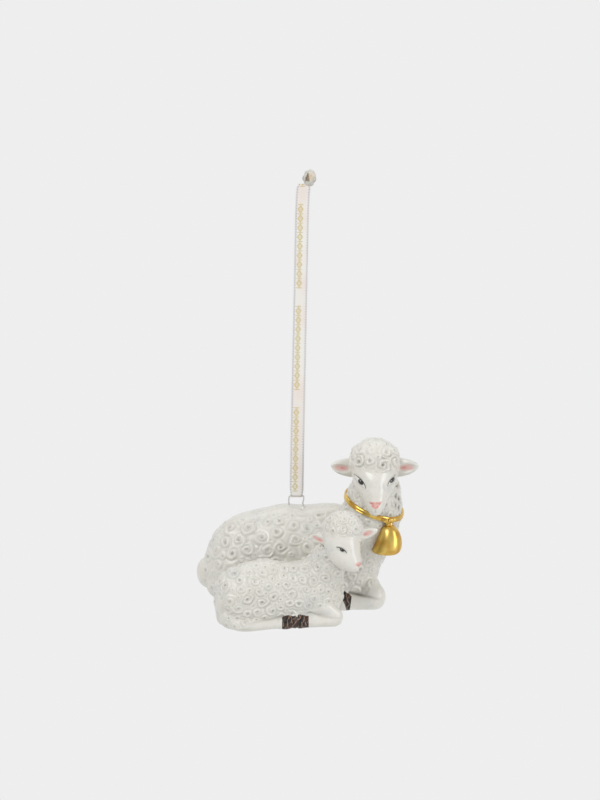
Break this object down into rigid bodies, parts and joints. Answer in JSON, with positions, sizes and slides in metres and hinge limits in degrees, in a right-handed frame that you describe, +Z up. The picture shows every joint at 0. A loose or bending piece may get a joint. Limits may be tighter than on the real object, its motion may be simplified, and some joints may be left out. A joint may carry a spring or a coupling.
{
  "type": "hanging sheep figurine ornament",
  "caption": "Glazed ceramic ewe lying with her lamb, a bell on her collar, tipped slightly forward as it hangs by a wire loop from a knotted flat ribbon.",
  "frame": {"origin": "middle of the ribbon's knot, from which the ornament hangs", "axes": "+Z up along the hang, +X towards the ewe's head, -Y towards the lamb and the viewer"},
  "size_m": [0.0963, 0.0706, 0.1985],
  "materials": {
    "white_glaze": "gloss",
    "face_glaze": "gloss",
    "hoof_glaze": "gloss",
    "gold_lustre": "gloss",
    "silver_wire": "satin",
    "ivory_ribbon": "woven"
  },
  "bodies": {
    "ribbon": {"ribbon_front": "ivory_ribbon", "ribbon_back": "ivory_ribbon", "ribbon_fold": "ivory_ribbon", "ribbon_knot": "ivory_ribbon"},
    "figurine": {"ewe_body": "white_glaze", "ewe_head": "face_glaze", "ewe_ear_left": "face_glaze", "ewe_ear_right": "face_glaze", "ewe_tail": "white_glaze", "ewe_foreleg_near": "face_glaze", "ewe_hoof_near": "hoof_glaze", "ewe_foreleg_far": "face_glaze", "ewe_hoof_far": "hoof_glaze", "ewe_hindleg_far": "face_glaze", "ewe_hind_hoof_far": "hoof_glaze", "lamb_body": "white_glaze", "lamb_head": "face_glaze", "lamb_ear_left": "face_glaze", "lamb_ear_right": "face_glaze", "lamb_tail": "white_glaze", "lamb_foreleg": "face_glaze", "lamb_fore_hoof": "hoof_glaze", "lamb_hindleg": "face_glaze", "lamb_hind_hoof": "hoof_glaze", "collar": "gold_lustre", "collar_knot": "gold_lustre", "bell": "gold_lustre", "hanger_wire": "silver_wire"}
  },
  "joints": [
    {"name": "figurine_swing", "type": "hinge", "parent": "ribbon", "child": "figurine", "pos_m": [-0.0056, 0, -0.138], "axis": [1, 0, 0], "range_deg": [-90, 90]}
  ]
}
